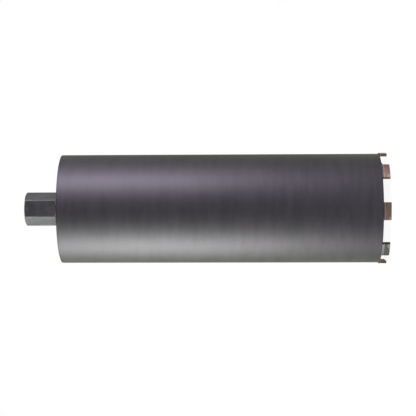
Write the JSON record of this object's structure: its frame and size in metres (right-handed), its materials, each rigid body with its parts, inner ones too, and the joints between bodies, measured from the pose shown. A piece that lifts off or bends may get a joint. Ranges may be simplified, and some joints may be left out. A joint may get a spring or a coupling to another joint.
{
  "type": "diamond core bit",
  "caption": "Thin-walled wet core bit for drilling concrete: a steel tube with diamond segments on its open end, and a back plate with a threaded hexagon hub.",
  "frame": {"origin": "on the axis, in the plane of the segment tips that the bit stands on", "axes": "+Z along the axis from the segments towards the hub; the hexagon has two corners along X and two flats facing +Y and -Y"},
  "size_m": [0.152, 0.152, 0.497],
  "materials": {
    "barrel_coating": "satin dark grey coating with a faint purple cast",
    "plate_coating": "satin dark grey coating over weld beads",
    "hub_steel": "turned and blackened steel",
    "segment_matrix": "sintered bronze with diamond grit over a grey steel foot"
  },
  "bodies": {
    "root": {"barrel_tube": "barrel_coating", "back_plate": "plate_coating", "hex_hub": "hub_steel", "segment_1": "segment_matrix", "segment_2": "segment_matrix", "segment_3": "segment_matrix", "segment_4": "segment_matrix", "segment_5": "segment_matrix", "segment_6": "segment_matrix", "segment_7": "segment_matrix", "segment_8": "segment_matrix"}
  },
  "joints": []
}
